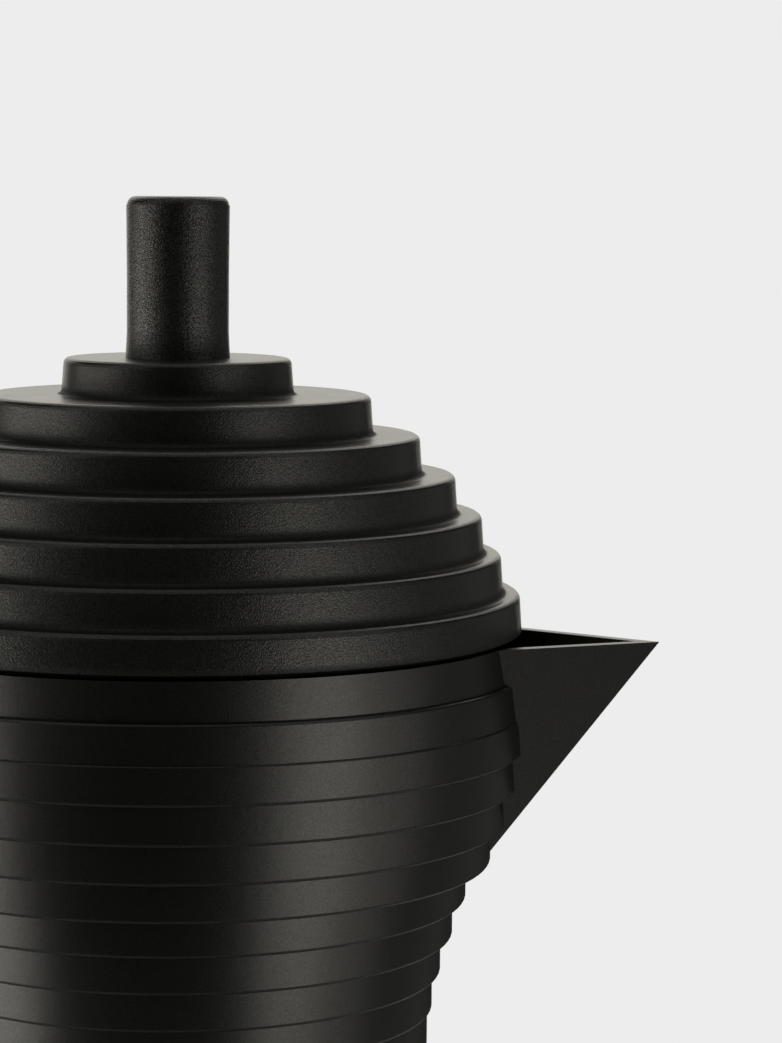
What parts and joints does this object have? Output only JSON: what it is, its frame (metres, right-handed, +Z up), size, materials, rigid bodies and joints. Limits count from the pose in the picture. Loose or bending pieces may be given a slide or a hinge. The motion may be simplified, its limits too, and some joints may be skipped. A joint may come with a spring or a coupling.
{
  "type": "moka pot",
  "caption": "Stovetop coffee maker with a stepped dome lid, tall round knob, V-shaped spout, ringed hourglass body and an L-shaped handle.",
  "frame": {"origin": "centre of the flat underside of the boiler, on the pot's axis", "axes": "+Z up along the pot's axis, +X towards the spout's tip, -X towards the handle, +Y towards the safety valve"},
  "size_m": [0.1858, 0.1108, 0.2366],
  "materials": {
    "black_painted_casting": "satin black coating on cast aluminium",
    "black_resin": "fine-grained matt black moulded resin",
    "bare_aluminium": "pressed sheet, dull",
    "stainless_steel": "turned, fine",
    "valve_brass": "turned brass",
    "red_fibre": "pressed fibre",
    "white_rubber": "matt silicone"
  },
  "bodies": {
    "boiler": {"boiler": "black_painted_casting", "valve_body": "valve_brass", "valve_ring": "red_fibre", "valve_cap": "valve_brass", "valve_spring": "stainless_steel"},
    "valve_pin": {"valve_poppet": "stainless_steel"},
    "funnel": {"funnel": "bare_aluminium", "funnel_strainer": "bare_aluminium"},
    "gasket": {"gasket": "white_rubber"},
    "filter_plate": {"filter_plate": "bare_aluminium"},
    "collector": {"collector": "black_painted_casting", "column": "bare_aluminium", "handle": "black_resin", "handle_screw": "stainless_steel", "handle_washer": "stainless_steel", "hinge_pin": "stainless_steel"},
    "lid": {"lid": "black_resin", "lid_knob": "black_resin", "knob_screw": "stainless_steel", "knob_washer": "stainless_steel"}
  },
  "joints": [
    {"name": "valve_pull", "type": "slide", "parent": "boiler", "child": "valve_pin", "axis": [0, 1, 0], "range_m": [0, 0.0015], "stiffness_N_per_m": 200, "springref_m": -0.008, "deforming": ["valve_spring"]},
    {"name": "funnel_lift", "type": "slide", "parent": "boiler", "child": "funnel", "axis": [0, 0, 1], "range_m": [0, 0.1]},
    {"name": "lift_off", "type": "slide", "parent": "boiler", "child": "gasket", "axis": [0, 0, 1], "range_m": [0, 0.2]},
    {"name": "thread_rise", "type": "slide", "parent": "gasket", "child": "filter_plate", "axis": [0, 0, 1], "range_m": [0, 0.0076]},
    {"name": "collector_turn", "type": "hinge", "parent": "filter_plate", "child": "collector", "pos_m": [0, 0, 0.0885], "axis": [0, 0, 1], "range_deg": [0, 900]},
    {"name": "lid_hinge", "type": "hinge", "parent": "collector", "child": "lid", "pos_m": [-0.057, 0, 0.17406], "axis": [0, -1, 0], "range_deg": [0, 105]}
  ],
  "couplings": [
    {"joint": "funnel_lift", "follows": "lift_off", "ratio": 0.5},
    {"joint": "thread_rise", "follows": "collector_turn", "m_per_rad": 0.00047746}
  ]
}
